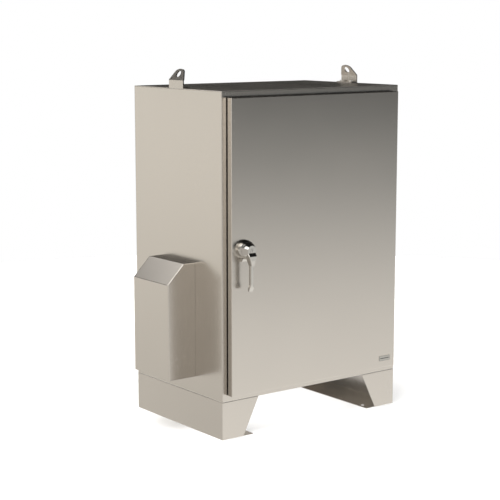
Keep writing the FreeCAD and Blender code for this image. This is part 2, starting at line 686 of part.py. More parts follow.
def latch_cam():
    """Disc with two spiral slots that draw both rods in evenly."""
    disc = cylinder(CAM_R, (HANDLE_X, CAM_FRONT_Y, HANDLE_Z), (HANDLE_X, CAM_BACK_Y, HANDLE_Z))
    square = box(around(HANDLE_X, 4.0), (CAM_FRONT_Y - 1, CAM_FRONT_Y + 3), around(HANDLE_Z, 4.0))
    screw_hole = cylinder(2.2, (HANDLE_X, CAM_FRONT_Y, HANDLE_Z), (HANDLE_X, CAM_BACK_Y + 1, HANDLE_Z))
    head_recess = cylinder(5.6, (HANDLE_X, CAM_FRONT_Y + 3.6, HANDLE_Z), (HANDLE_X, CAM_BACK_Y + 1, HANDLE_Z))
    return cut(disc, [square, screw_hole, head_recess, spiral_slot(0), spiral_slot(math.pi)])


def cam_screw():
    head = cylinder(5.3, (HANDLE_X, CAM_FRONT_Y + 3.6, HANDLE_Z), (HANDLE_X, CAM_BACK_Y - 0.2, HANDLE_Z))
    shank = cylinder(1.9, (HANDLE_X, CAM_FRONT_Y - 7, HANDLE_Z), (HANDLE_X, CAM_FRONT_Y + 4, HANDLE_Z))
    drive = hexagon(3.0, (HANDLE_X, CAM_BACK_Y - 1.6, HANDLE_Z), (0, 3, 0))
    return fuse([head, shank]).cut(drive)


def latch_rod(up):
    """Flat rod with its drive pin and a roller axle; up is 1 for the upper rod and -1 for the lower."""
    pin_z = HANDLE_Z + up * DRIVE_PIN_START_R
    roller_z = roller_height(up)
    tail_z = pin_z - up * 8
    head_z = roller_z + up * 7.5
    z = tuple(sorted((tail_z, head_z)))
    half = ROD_WIDTH / 2
    bar = box(around(HANDLE_X, half), (ROD_FRONT_Y, ROD_FRONT_Y + ROD_THICKNESS), z)
    pin = cylinder(DRIVE_PIN_R, (HANDLE_X, CAM_FRONT_Y + 0.5, pin_z), (HANDLE_X, ROD_FRONT_Y + 1, pin_z))
    lug_z = tuple(sorted((roller_z - up * 12, head_z)))
    lug = box((HANDLE_X - 2, HANDLE_X + half), (ROLLER_Y - 5, ROD_FRONT_Y + 1), lug_z)
    axle_x = HANDLE_X + half
    axle_end = axle_x + ROLLER_WIDTH + 1.0
    axle = cylinder(AXLE_R, (axle_x - 1, ROLLER_Y, roller_z), (axle_end, ROLLER_Y, roller_z))
    washer = cylinder(5.0, (axle_end, ROLLER_Y, roller_z), (axle_end + 1.5, ROLLER_Y, roller_z))
    return fuse([bar, pin, lug, axle, washer])


def roller_height(up):
    """Centre of a latch roller: its rim stops 1 mm short of the opening's edge."""
    return OPEN_HIGH - 1 - ROLLER_R if up > 0 else OPEN_LOW + 1 + ROLLER_R


def latch_roller(up):
    start = HANDLE_X + ROD_WIDTH / 2 + 0.5
    z = roller_height(up)
    roller = cylinder(ROLLER_R, (start, ROLLER_Y, z), (start + ROLLER_WIDTH, ROLLER_Y, z))
    roller = round_edges(roller, 1.0, lambda e: e.Length > 40 and e.Closed and len(e.Vertexes) == 1)
    bore = cylinder(ROLLER_BORE_R, (start - 1, ROLLER_Y, z), (start + ROLLER_WIDTH + 1, ROLLER_Y, z))
    return roller.cut(bore)


def rod_guides():
    """Two brackets on the door that the rods slide through."""
    guides = []
    half = ROD_WIDTH / 2
    back = ROD_FRONT_Y + ROD_THICKNESS
    for up in (1, -1):
        z = HANDLE_Z + up * GUIDE_OFFSET_Z
        block = rounded_block(around(HANDLE_X, half + 7), (DOOR_INNER_Y, back + 4), around(z, 10), 2.5, "z")
        brim = box(around(HANDLE_X, half + 18), (DOOR_INNER_Y, DOOR_INNER_Y + 3), around(z, 10))
        window = box(around(HANDLE_X, half + 0.5), (ROD_FRONT_Y - 0.5, back + 0.5), around(z, 11))
        relief = box(around(HANDLE_X, half + 3), (DOOR_INNER_Y + 3, ROD_FRONT_Y - 4), around(z, 11))
        guides.append(cut(fuse([block, brim]), [window, relief]))
    return group(guides)


# ---------------------------------------------------------------- mounting panel
def panel_stud_places():
    return [(side * (PANEL_X - 20), z) for side in (-1, 1) for z in (PANEL_LOW + 20, PANEL_HIGH - 20)]


def mounting_panel():
    """Flat back panel with stiffening folds along its sides."""
    plate = rounded_block((-PANEL_X, PANEL_X), (PANEL_FRONT_Y, PANEL_FRONT_Y + PANEL_THICKNESS),
                          (PANEL_LOW, PANEL_HIGH), 10, "y")
    folds = [box(x, (PANEL_FRONT_Y + 1, PANEL_FRONT_Y + 20), (PANEL_LOW + 60, PANEL_HIGH - 60))
             for x in ((-PANEL_X, -PANEL_X + 3), (PANEL_X - 3, PANEL_X))]
    holes = [cylinder(STUD_R + 0.8, (x, PANEL_FRONT_Y - 1, z), (x, PANEL_FRONT_Y + 5, z))
             for x, z in panel_stud_places()]
    return cut(fuse([plate] + folds), holes)


def panel_studs():
    """Collared studs welded to the rear wall."""
    wall = HALF_D - SHEET
    back = PANEL_FRONT_Y + PANEL_THICKNESS
    return group([fuse([cylinder(STUD_R, (x, wall, z), (x, PANEL_FRONT_Y - 12, z)),
                        cylinder(9, (x, wall, z), (x, back, z))]) for x, z in panel_stud_places()])


def panel_nuts():
    return group([hexagon(15, (x, PANEL_FRONT_Y, z), (0, -8, 0)).cut(
        cylinder(STUD_R + 0.06, (x, PANEL_FRONT_Y + 1, z), (x, PANEL_FRONT_Y - 9, z)))
        for x, z in panel_stud_places()])


def ground_stud():
    """Brass earthing stud with a nut on the floor pan."""
    x, y, z = -330.0, -200.0, BODY_BOTTOM + SHEET
    stud = cylinder(4.0, (x, y, z), (x, y, z + 32))
    collar = cylinder(8.0, (x, y, z), (x, y, z + 3))
    return fuse([stud, collar, hexagon(13, (x, y, z + 3), (0, 0, 6.5))])


# ---------------------------------------------------------------- switchgear on the panel
def din_rails():
    """Top-hat rails screwed to the panel."""
    rails = []
    back = PANEL_FRONT_Y
    front = RAIL_FRONT_Y
    for z in (UPPER_RAIL_Z, MIDDLE_RAIL_Z, LOWER_RAIL_Z):
        profile = [(front, z + 17.5), (front, z + 12.5), (back - 1, z + 12.5), (back - 1, z - 12.5),
                   (front, z - 12.5), (front, z - 17.5), (front + 1, z - 17.5), (front + 1, z - 13.5),
                   (back, z - 13.5), (back, z + 13.5), (front + 1, z + 13.5), (front + 1, z + 17.5)]
        rails.append(prism([(-310, y, zz) for y, zz in profile], (620, 0, 0)))
    return group(rails)


DUCT_PIECES = (
    # x low, x high, z low, z high
    (-350.0, -310.0, 300.0, 1260.0),
    (310.0, 350.0, 300.0, 1260.0),
    (-310.0, 310.0, 840.0, 880.0),
    (-310.0, 310.0, 555.0, 595.0),
)
DUCT_DEPTH = 60.0
DUCT_SLOT = 8.0
DUCT_SLOT_PITCH = 20.0
DUCT_COVER = 2.5


def wiring_ducts():
    """Slotted wiring trunking with its snap-on covers."""
    pieces = []
    front = PANEL_FRONT_Y - DUCT_DEPTH
    wall = 2.0
    for x0, x1, z0, z1 in DUCT_PIECES:
        upright = z1 - z0 > x1 - x0
        inner_x = (x0 + wall, x1 - wall) if upright else (x0 - 1, x1 + 1)
        inner_z = (z0 - 1, z1 + 1) if upright else (z0 + wall, z1 - wall)
        trough = box((x0, x1), (front, PANEL_FRONT_Y), (z0, z1))
        hollow = box(inner_x, (front - 1, PANEL_FRONT_Y - wall), inner_z)
        slots = []
        start, end = (z0, z1) if upright else (x0, x1)
        slot_depth = (front + 6, PANEL_FRONT_Y - 14)
        place = start + 14
        while place < end - DUCT_SLOT_PITCH:
            along = (place, place + DUCT_SLOT)
            across = (x0 - 1, x1 + 1) if upright else (z0 - 1, z1 + 1)
            slots.append(box(across, slot_depth, along) if upright else box(along, slot_depth, across))
            place += DUCT_SLOT_PITCH
        pieces.append(cut(trough.cut(hollow), slots))
        pieces.append(box((x0, x1), (front - DUCT_COVER, front), (z0, z1)))
    return group(pieces)


def block_with_nose(x, z, width, height, depth, nose_height, nose_depth, back):
    """A device case: a full-height body and a taller nose in its middle."""
    case = rounded_block(around(x, width / 2), (back - depth, back), around(z, height / 2),
                         1.5, "x")
    nose = rounded_block(around(x, width / 2), (back - nose_depth, back - 2),
                         around(z, nose_height / 2), 1.5, "x")
    return fuse([case, nose])


MAIN_X = -215.0
MAIN_Z = 1130.0
MAIN_DEPTH = 96.0
MAIN_PIVOT_Y = PANEL_FRONT_Y - MAIN_DEPTH + 12
BRANCH_COUNT = 6
BRANCH_PITCH = 18.4
BRANCH_X = 40.0
BRANCH_DEPTH = 68.0
BRANCH_PIVOT_Y = RAIL_FRONT_Y - BRANCH_DEPTH + 7
TOGGLE_TILT = 25.0


def toggle(x, pivot_y, z, hub_r, width, reach, thickness):
    """A switch toggle resting downward, on a round hub."""
    hub = cylinder(hub_r, (x - width / 2, pivot_y, z), (x + width / 2, pivot_y, z))
    lever = rounded_block(around(x, width / 2), (pivot_y - reach, pivot_y),
                          around(z, thickness / 2), 1.2, "x")
    lever.rotate(Vector(x, pivot_y, z), Vector(1, 0, 0), TOGGLE_TILT)
    return fuse([hub, lever])


def main_breaker():
    """Moulded-case breaker with terminals top and bottom and a toggle well."""
    case = block_with_nose(MAIN_X, MAIN_Z, 140, 250, 80, 110, MAIN_DEPTH, PANEL_FRONT_Y)
    front = PANEL_FRONT_Y - MAIN_DEPTH
    well = box(around(MAIN_X, 9.5), (front - 1, front + 26), around(MAIN_Z, 24))
    tools = [well]
    for i in (-1, 0, 1):
        for end in (-1, 1):
            x = MAIN_X + i * 44
            z = MAIN_Z + end * 105
            tools.append(cylinder(9, (x, PANEL_FRONT_Y - 81, z), (x, PANEL_FRONT_Y - 60, z)))
            z_low, z_high = sorted((MAIN_Z + end * 117, MAIN_Z + end * 126))
            tools.append(box(around(x, 13), (PANEL_FRONT_Y - 52, PANEL_FRONT_Y - 32), (z_low, z_high)))
    return cut(case, tools)


def main_breaker_toggle():
    return toggle(MAIN_X, MAIN_PIVOT_Y, MAIN_Z, 10.0, 17.0, 34.0, 9.0)


def branch_x(index):
    return BRANCH_X + index * BRANCH_PITCH


def branch_breakers():
    """Row of single-pole breakers on the upper rail."""
    cases = []
    front = RAIL_FRONT_Y - BRANCH_DEPTH
    for i in range(BRANCH_COUNT):
        x = branch_x(i)
        case = block_with_nose(x, UPPER_RAIL_Z, 17.8, 84, 48, 45, BRANCH_DEPTH, RAIL_FRONT_Y)
        well = box(around(x, 4.2), (front - 1, front + 16), around(UPPER_RAIL_Z, 13))
        screws = [cylinder(3.2, (x, RAIL_FRONT_Y - 49, UPPER_RAIL_Z + end * 32),
                           (x, RAIL_FRONT_Y - 40, UPPER_RAIL_Z + end * 32)) for end in (-1, 1)]
        cases.append(cut(case, [well] + screws))
    return group(cases)


def branch_toggle(index):
    return toggle(branch_x(index), BRANCH_PIVOT_Y, UPPER_RAIL_Z, 5.6, 7.4, 17.0, 5.0)


def contactors():
    """Two contactors on the middle rail."""
    pieces = []
    for x in (-230.0, -178.0):
        case = block_with_nose(x, MIDDLE_RAIL_Z, 45, 84, 60, 50, 86, RAIL_FRONT_Y)
        recess = box(around(x, 12), (RAIL_FRONT_Y - 87, RAIL_FRONT_Y - 84), around(MIDDLE_RAIL_Z, 10))
        screws = [cylinder(4, (x + dx, RAIL_FRONT_Y - 61, MIDDLE_RAIL_Z + end * 33),
                           (x + dx, RAIL_FRONT_Y - 50, MIDDLE_RAIL_Z + end * 33))
                  for dx in (-14, 0, 14) for end in (-1, 1)]
        pieces.append(cut(case, [recess] + screws))
    return group(pieces)


def power_supply():
    """Ventilated control power supply on the middle rail."""
    x = 60.0
    front = RAIL_FRONT_Y - 115
    half_height = 62
    case = rounded_block(around(x, 32), (front, RAIL_FRONT_Y), around(MIDDLE_RAIL_Z, half_height), 2, "y")
    vent_z = (MIDDLE_RAIL_Z + half_height - 3, MIDDLE_RAIL_Z + half_height + 1)
    vents = [box(around(x, 24), (front + 15 + 12 * i, front + 20 + 12 * i), vent_z) for i in range(7)]
    terminal_z = (MIDDLE_RAIL_Z - half_height + 6, MIDDLE_RAIL_Z - half_height + 18)
    terminals = [box((x - 24 + 10 * i, x - 17 + 10 * i), (front - 1, front + 11), terminal_z)
                 for i in range(5)]
    return cut(case, vents + terminals)


def terminal_blocks():
    """Row of feed-through terminals on the lower rail."""
    pieces = []
    pitch = 12.0
    for i in range(20):
        x = -200.0 + i * pitch
        case = block_with_nose(x, LOWER_RAIL_Z, pitch - 0.3, 56, 34, 26, 46, RAIL_FRONT_Y)
        screws = [cylinder(3.2, (x, RAIL_FRONT_Y - 35, LOWER_RAIL_Z + end * 20),
                           (x, RAIL_FRONT_Y - 28, LOWER_RAIL_Z + end * 20)) for end in (-1, 1)]
        pieces.append(cut(case, screws))
    return group(pieces)


def ground_bar():
    """Copper earth bar on two spacers with a row of screws."""
    z = 275.0
    front = PANEL_FRONT_Y - 18
    pieces = [box((-120, 120), (front, front + 6), around(z, 13))]
    pieces += [cylinder(8, (x, front + 6, z), (x, PANEL_FRONT_Y, z)) for x in (-105, 105)]
    screws = [cylinder(4.5, (-80 + 20 * i, front, z), (-80 + 20 * i, front - 3.5, z)) for i in range(9)]
    return fuse(pieces + screws)


# ---------------------------------------------------------------- write every piece
PIECES = {
    "left_side_wall": left_side_wall,
    "right_side_wall": right_side_wall,
    "roof_panel": roof_panel,
    "floor_pan": floor_pan,
    "rear_wall": rear_wall,
    "front_frame": front_frame,
    "floor_stand_left": floor_stand_left,
    "floor_stand_right": floor_stand_right,
    "stand_bolts": stand_bolts,
    "lifting_eye_left": lifting_eye_left,
    "lifting_eye_right": lifting_eye_right,
    "lifting_eye_bolts": lifting_eye_bolts,
    "vent_hood": vent_hood,
    "filter_mat": filter_mat,
    "fan_housing": fan_housing,
    "fan_impeller": fan_impeller,
    "fan_guard": fan_guard,
    "hinge_leaf_body": hinge_leaf_body,
    "hinge_leaf_door": hinge_leaf_door,
    "hinge_pin": hinge_pin,
    "door_panel": door_panel,
    "door_gasket": door_gasket,
    "door_stiffeners": door_stiffeners,
    "data_pocket": data_pocket,
    "label_plate": label_plate,
    "handle_base": handle_base,
    "handle_nut": handle_nut,
    "handle_lever": handle_lever,
    "lock_plug": lock_plug,
    "handle_shaft": handle_shaft,
    "latch_cam": latch_cam,
    "cam_screw": cam_screw,
    "rod_guides": rod_guides,
    "mounting_panel": mounting_panel,
    "panel_studs": panel_studs,
    "panel_nuts": panel_nuts,
    "ground_stud": ground_stud,
    "din_rails": din_rails,
    "wiring_ducts": wiring_ducts,
    "main_breaker": main_breaker,
    "main_breaker_toggle": main_breaker_toggle,
    "branch_breakers": branch_breakers,
    "contactors": contactors,
    "power_supply": power_supply,
    "terminal_blocks": terminal_blocks,
    "ground_bar": ground_bar,
}


def main():
    os.makedirs("parts", exist_ok=True)
    shapes = {name: build() for name, build in PIECES.items()}
    for label, up in (("upper", 1), ("lower", -1)):
        shapes["latch_rod_" + label] = latch_rod(up)
        shapes["latch_roller_" + label] = latch_roller(up)
    for i in range(BRANCH_COUNT):
        shapes["branch_toggle_%d" % (i + 1)] = branch_toggle(i)
    for name, shape in shapes.items():
        shape.exportStep("parts/%s.step" % name)


main()
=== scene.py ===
"""Looks for the switchboard cabinet: materials, small surface details, light and camera.

Metres, +Z up, the door faces -Y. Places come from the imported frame.
"""
import math

import bmesh
import bpy
from mathutils import Matrix, Vector


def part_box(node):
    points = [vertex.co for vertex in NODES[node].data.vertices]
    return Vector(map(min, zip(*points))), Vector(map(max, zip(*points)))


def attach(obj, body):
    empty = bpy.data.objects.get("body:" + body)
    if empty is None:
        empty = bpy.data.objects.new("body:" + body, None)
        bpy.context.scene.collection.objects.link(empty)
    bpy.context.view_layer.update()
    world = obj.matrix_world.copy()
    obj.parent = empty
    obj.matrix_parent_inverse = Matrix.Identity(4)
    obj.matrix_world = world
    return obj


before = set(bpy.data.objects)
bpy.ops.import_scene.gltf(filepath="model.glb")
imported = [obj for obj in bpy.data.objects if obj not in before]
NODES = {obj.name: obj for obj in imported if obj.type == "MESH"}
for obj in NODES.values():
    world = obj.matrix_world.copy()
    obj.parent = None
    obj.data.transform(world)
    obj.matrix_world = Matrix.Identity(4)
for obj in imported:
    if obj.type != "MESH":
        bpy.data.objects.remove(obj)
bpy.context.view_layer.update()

# ---------------------------------------------------------------- colours (linear) and finish
STAINLESS = (0.52, 0.49, 0.453, 1)
ZINC = (0.66, 0.66, 0.64, 1)
CHROME = (0.46, 0.445, 0.42, 1)
BRASS = (0.76, 0.56, 0.26, 1)
COPPER = (0.78, 0.38, 0.24, 1)
FOIL = (0.45, 0.44, 0.41, 1)
DARK_FOIL = (0.30, 0.29, 0.27, 1)

# how round a folded edge of the sheet looks
SHEET_EDGE = 0.003

# sockets of a Mix node that mixes colours
MIX_FACTOR = 0
MIX_FIRST = 6
MIX_SECOND = 7
MIX_RESULT = 2


# ---------------------------------------------------------------- material helpers
def new_material(name):
    """A new node material, its node tree and its Principled shader."""
    material = bpy.data.materials.new(name)
    material.use_nodes = True
    tree = material.node_tree
    shader = tree.nodes["Principled BSDF"]
    return material, tree, shader


def noise(tree, scale, stretch=(1, 1, 1), detail=3.0, roughness=0.5):
    """Noise in object space; the axis with the smallest stretch is the one that its streaks run along."""
    coords = tree.nodes.new("ShaderNodeTexCoord")
    mapping = tree.nodes.new("ShaderNodeMapping")
    mapping.inputs["Scale"].default_value = stretch
    texture = tree.nodes.new("ShaderNodeTexNoise")
    texture.inputs["Scale"].default_value = scale
    texture.inputs["Detail"].default_value = detail
    texture.inputs["Roughness"].default_value = roughness
    tree.links.new(coords.outputs["Object"], mapping.inputs["Vector"])
    tree.links.new(mapping.outputs["Vector"], texture.inputs["Vector"])
    return texture.outputs["Fac"]


def ramp(tree, value, low, high, start=0.3, end=0.7):
    """Turns values from start to end into numbers from low to high."""
    node = tree.nodes.new("ShaderNodeMapRange")
    node.inputs["From Min"].default_value = start
    node.inputs["From Max"].default_value = end
    node.inputs["To Min"].default_value = low
    node.inputs["To Max"].default_value = high
    tree.links.new(value, node.inputs["Value"])
    return node.outputs["Result"]


def combined(tree, operation, first, second):
    """Two values added or multiplied."""
    node = tree.nodes.new("ShaderNodeMath")
    node.operation = operation
    tree.links.new(first, node.inputs[0])
    tree.links.new(second, node.inputs[1])
    return node.outputs[0]


def mixed(tree, value, first, second):
    """A colour from first to second, by a 0 to 1 value; each is a fixed colour or a node's output."""
    node = tree.nodes.new("ShaderNodeMix")
    node.data_type = "RGBA"
    tree.links.new(value, node.inputs[MIX_FACTOR])
    for slot, colour in ((MIX_FIRST, first), (MIX_SECOND, second)):
        if isinstance(colour, tuple):
            node.inputs[slot].default_value = colour
        else:
            tree.links.new(colour, node.inputs[slot])
    return node.outputs[MIX_RESULT]


def scaled(colour, factor):
    """A colour made darker or lighter, no channel past 1."""
    return tuple(min(1.0, c * factor) for c in colour[:3]) + (1,)


def vary_tone(tree, shader, value, colour, low, high):
    """Lets a value move the base colour between two shares of itself."""
    tone = mixed(tree, value, scaled(colour, low), scaled(colour, high))
    tree.links.new(tone, shader.inputs["Base Color"])


def add_bump(tree, shader, height, strength, distance, edge=0.0):
    """Surface relief; edge is the radius that sharp edges seem rounded to."""
    node = tree.nodes.new("ShaderNodeBump")
    if edge:
        rounded = tree.nodes.new("ShaderNodeBevel")
        rounded.samples = 8
        rounded.inputs["Radius"].default_value = edge
        tree.links.new(rounded.outputs["Normal"], node.inputs["Normal"])
    node.inputs["Strength"].default_value = strength
    node.inputs["Distance"].default_value = distance
    tree.links.new(height, node.inputs["Height"])
    tree.links.new(node.outputs["Normal"], shader.inputs["Normal"])


def brushed_metal(name, colour, rough, grain, spread=0.05, bump=0.05, cloud=0.05, edge=0.0):
    """Satin metal: fine grain and a slow cloudy change of tone and gloss.

    spread is how much the grain changes the roughness, cloud how much the slow change does.
    """
    material, tree, shader = new_material(name)
    shader.inputs["Metallic"].default_value = 1.0
    cloudy = noise(tree, scale=3.0, detail=1.0)
    vary_tone(tree, shader, cloudy, colour, 1 - cloud, 1 + cloud * 0.6)
    streaks = noise(tree, scale=60.0, stretch=grain, detail=4.0, roughness=0.6)
    fine = ramp(tree, streaks, -spread, spread)
    slow = ramp(tree, cloudy, rough - cloud * 0.4, rough + cloud * 0.4)
    tree.links.new(combined(tree, "ADD", fine, slow), shader.inputs["Roughness"])
    add_bump(tree, shader, streaks, strength=bump, distance=0.0004, edge=edge)
    return material


def plastic(name, colour, rough, coat=0.0):
    """Moulded plastic with a fine surface texture and slight tone change."""
    material, tree, shader = new_material(name)
    cloudy = noise(tree, scale=14.0)
    vary_tone(tree, shader, cloudy, colour, 0.9, 1.06)
    fine = noise(tree, scale=900.0, detail=2.0)
    tree.links.new(ramp(tree, fine, rough - 0.06, rough + 0.06), shader.inputs["Roughness"])
    shader.inputs["Coat Weight"].default_value = coat
    add_bump(tree, shader, fine, strength=0.15, distance=0.0003)
    return material


def foam(name, colour):
    """Closed-cell foam: dark, matt, pitted with small cells."""
    material, tree, shader = new_material(name)
    coords = tree.nodes.new("ShaderNodeTexCoord")
    cells = tree.nodes.new("ShaderNodeTexVoronoi")
    cells.inputs["Scale"].default_value = 700.0
    tree.links.new(coords.outputs["Object"], cells.inputs["Vector"])
    vary_tone(tree, shader, cells.outputs["Distance"], colour, 0.6, 1.5)
    shader.inputs["Roughness"].default_value = 0.9
    add_bump(tree, shader, cells.outputs["Distance"], strength=0.5, distance=0.0005)
    return material


def fibre(name, colour):
    """Filter fleece: fibres that cross each other."""
    material, tree, shader = new_material(name)
    one = noise(tree, scale=500.0, stretch=(1, 12, 1), detail=5.0)
    two = noise(tree, scale=500.0, stretch=(1, 1, 12), detail=5.0)
    crossed = combined(tree, "MULTIPLY", one, two)
    vary_tone(tree, shader, ramp(tree, crossed, 0, 1, start=0.15, end=0.4), colour, 0.7, 1)
    shader.inputs["Roughness"].default_value = 0.95
    add_bump(tree, shader, crossed, strength=0.8, distance=0.002)
    return material


def painted(name, colour):
    """Powder coat: slight orange peel."""
    material, tree, shader = new_material(name)
    peel = noise(tree, scale=260.0, detail=2.0)
    cloudy = noise(tree, scale=4.0)
    vary_tone(tree, shader, cloudy, colour, 0.96, 1)
    tree.links.new(ramp(tree, peel, 0.28, 0.42), shader.inputs["Roughness"])
    add_bump(tree, shader, peel, strength=0.12, distance=0.0006)
    return material


def dress(material, *names):
    """Gives CAD nodes a material."""
    for name in names:
        slots = NODES[name].material_slots
        if not slots:
            NODES[name].data.materials.append(material)
        for slot in slots:
            slot.material = material


# ---------------------------------------------------------------- the materials
sheet_upright = brushed_metal("stainless_upright", STAINLESS, rough=0.24, grain=(22, 22, 1), spread=0.03,
                              bump=0.006, cloud=0.03, edge=SHEET_EDGE)
sheet_flat = brushed_metal("stainless_flat", STAINLESS, rough=0.30, grain=(1, 30, 30), bump=0.03)
plate_metal = brushed_metal("stainless_plate", STAINLESS, rough=0.26, grain=(20, 20, 1), bump=0.06)
zinc_metal = brushed_metal("zinc_steel", ZINC, rough=0.32, grain=(6, 6, 6), bump=0.1, cloud=0.12)
chrome_metal = brushed_metal("chrome", CHROME, rough=0.09, grain=(3, 3, 3), spread=0.012, bump=0.006,
                             cloud=0.02)
brass_metal = brushed_metal("brass", BRASS, rough=0.25, grain=(5, 5, 5))
copper_metal = brushed_metal("copper", COPPER, rough=0.3, grain=(1, 20, 20), cloud=0.15)
label_metal = brushed_metal("label_foil", FOIL, rough=0.30, grain=(1, 20, 20))
label_rim_metal = brushed_metal("label_rim", DARK_FOIL, rough=0.35, grain=(1, 20, 20))
label_ink = painted("label_ink", (0.06, 0.06, 0.065, 1))
wire_black = plastic("wire_black", (0.02, 0.02, 0.022, 1), rough=0.4)
wire_blue = plastic("wire_blue", (0.03, 0.08, 0.26, 1), rough=0.4)
wire_red = plastic("wire_red", (0.36, 0.03, 0.025, 1), rough=0.4)
wire_green = plastic("wire_green", (0.06, 0.27, 0.07, 1), rough=0.4)
marker_plastic = plastic("marker_plastic", (0.74, 0.73, 0.68, 1), rough=0.45)
button_plastic = plastic("button_plastic", (0.45, 0.04, 0.03, 1), rough=0.3, coat=0.2)
gasket_foam = foam("gasket_foam", (0.02, 0.02, 0.02, 1))
white_paint = painted("white_powder_coat", (0.8, 0.8, 0.77, 1))
pocket_plastic = plastic("pocket_plastic", (0.48, 0.48, 0.455, 1), rough=0.42)
duct_plastic = plastic("duct_plastic", (0.29, 0.3, 0.31, 1), rough=0.45)
black_plastic = plastic("black_plastic", (0.028, 0.028, 0.031, 1), rough=0.42)
device_plastic = plastic("device_plastic", (0.62, 0.62, 0.59, 1), rough=0.4)
toggle_plastic = plastic("toggle_plastic", (0.02, 0.02, 0.022, 1), rough=0.25, coat=0.2)
terminal_plastic = plastic("terminal_plastic", (0.25, 0.27, 0.25, 1), rough=0.45)
nylon_plastic = plastic("nylon", (0.7, 0.66, 0.54, 1), rough=0.4)
filter_fleece = fibre("filter_fleece", (0.75, 0.75, 0.7, 1))

BRANCHES = 6

dress(sheet_upright, "left_side_wall", "right_side_wall", "rear_wall", "front_frame", "door_panel",
      "vent_hood", "floor_stand_left", "floor_stand_right", "hinge_leaf_body", "hinge_leaf_door", "hinge_pin")
dress(sheet_flat, "roof_panel", "floor_pan")
dress(plate_metal, "lifting_eye_left", "lifting_eye_right", "door_stiffeners")
dress(zinc_metal, "stand_bolts", "lifting_eye_bolts", "handle_nut", "handle_shaft", "latch_cam", "cam_screw",
      "rod_guides", "panel_studs", "panel_nuts", "din_rails", "latch_rod_upper", "latch_rod_lower",
      "fan_guard")
dress(chrome_metal, "handle_base", "handle_lever", "lock_plug")
dress(brass_metal, "ground_stud")
dress(copper_metal, "ground_bar")
dress(label_metal, "label_plate")
dress(gasket_foam, "door_gasket")
dress(white_paint, "mounting_panel")
dress(pocket_plastic, "data_pocket")
dress(duct_plastic, "wiring_ducts")
dress(black_plastic, "main_breaker", "contactors", "fan_housing", "fan_impeller")
dress(device_plastic, "branch_breakers", "power_supply")
dress(toggle_plastic, "main_breaker_toggle", *["branch_toggle_%d" % (i + 1) for i in range(BRANCHES)])
dress(terminal_plastic, "terminal_blocks")
dress(nylon_plastic, "latch_roller_upper", "latch_roller_lower")
dress(filter_fleece, "filter_mat")


# ---------------------------------------------------------------- small pieces
def mesh_piece(name, material, body, build):
    """A mesh that build(bmesh) draws, riding on a body."""
    shape = bmesh.new()
    build(shape)
    bmesh.ops.recalc_face_normals(shape, faces=shape.faces)
    mesh = bpy.data.meshes.new(name)
    shape.to_mesh(mesh)
    shape.free()
    mesh.materials.append(material)
    piece = bpy.data.objects.new(name, mesh)
    bpy.context.scene.collection.objects.link(piece)
    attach(piece, body)


def add_plate(shape, low, high, edge):
    """A block between two corners, with softened edges."""
    low, high = Vector(low), Vector(high)
    place = Matrix.Translation((low + high) / 2) @ Matrix.Diagonal((*(high - low), 1))
    made = bmesh.ops.create_cube(shape, size=1, matrix=place)
    edges = list({e for v in made["verts"] for e in v.link_edges})
    bmesh.ops.bevel(shape, geom=edges, offset=edge, segments=2, profile=0.5, affect="EDGES")


# Rings of a round head from its foot to its middle: radius and lift as shares of the head's own, then the
# radius's share between the four arms of a cross recess. A round ring's two radii are the same.
SCREW_RINGS = ((1, 0, 1), (1, 0.6, 1), (0.8, 1, 0.8), (0.62, 1, 0.22), (0.5, 0.4, 0.18))
BUTTON_RINGS = ((1, 0, 1), (1, 0.75, 1), (0.85, 1, 0.85), (0.6, 0.9, 0.6), (0.3, 0.85, 0.3))
HEAD_SIDES = 24
ARM_STEP = HEAD_SIDES // 4
# a screw head's height as a share of its radius
SCREW_LIFT = 0.7


def add_head(shape, rings, centre, radius, height):
    """A screw's head or a button that faces -Y, closed at both ends."""
    x, y, z = centre
    loops = []
    for wide, lift, waist in rings:
        loop = []
        for i in range(HEAD_SIDES):
            reach = radius * (wide if i % ARM_STEP in (0, 1, ARM_STEP - 1) else waist)
            angle = math.tau * i / HEAD_SIDES
            spot = (x + reach * math.cos(angle), y - height * lift, z + reach * math.sin(angle))
            loop.append(shape.verts.new(spot))
        loops.append(loop)
    for low, high in zip(loops, loops[1:]):
        for i in range(HEAD_SIDES):
            j = (i + 1) % HEAD_SIDES
            shape.faces.new((low[i], low[j], high[j], high[i]))
    shape.faces.new(loops[0])
    shape.faces.new(loops[-1])


def screws(name, columns, low, high, inset, depth, radius):
    """Pan heads with a cross recess at this depth, in one row near a device's foot and one near its top."""
    def build(shape):
        for x in columns:
            for z in (low[2] + inset, high[2] - inset):
                add_head(shape, SCREW_RINGS, (x, depth, z), radius, radius * SCREW_LIFT)
    mesh_piece(name, zinc_metal, "cabinet", build)


def button(name, material, centre, radius, height):
    """A round button with a soft edge and a shallow dish."""
    mesh_piece(name, material, "cabinet",
               lambda shape: add_head(shape, BUTTON_RINGS, centre, radius, height))


# blank plates: how deep they sit in the face behind them, and their softened edge
PLATE_SUNK = 0.0002
PLATE_EDGE = 0.0002


def blank_plates(name, spans, heights, front, proud=0.0005):
    """Blank plates on a front, one for each left and right end in spans, that stand a little proud of it."""
    bottom, top = heights

    def build(shape):
        for left, right in spans:
            add_plate(shape, (left, front - proud, bottom), (right, front + PLATE_SUNK, top), PLATE_EDGE)
    mesh_piece(name, marker_plastic, "cabinet", build)


def around(places, reach):
    """The left and right ends of plates that reach this far to both sides of their places."""
    return [(x - reach, x + reach) for x in places]


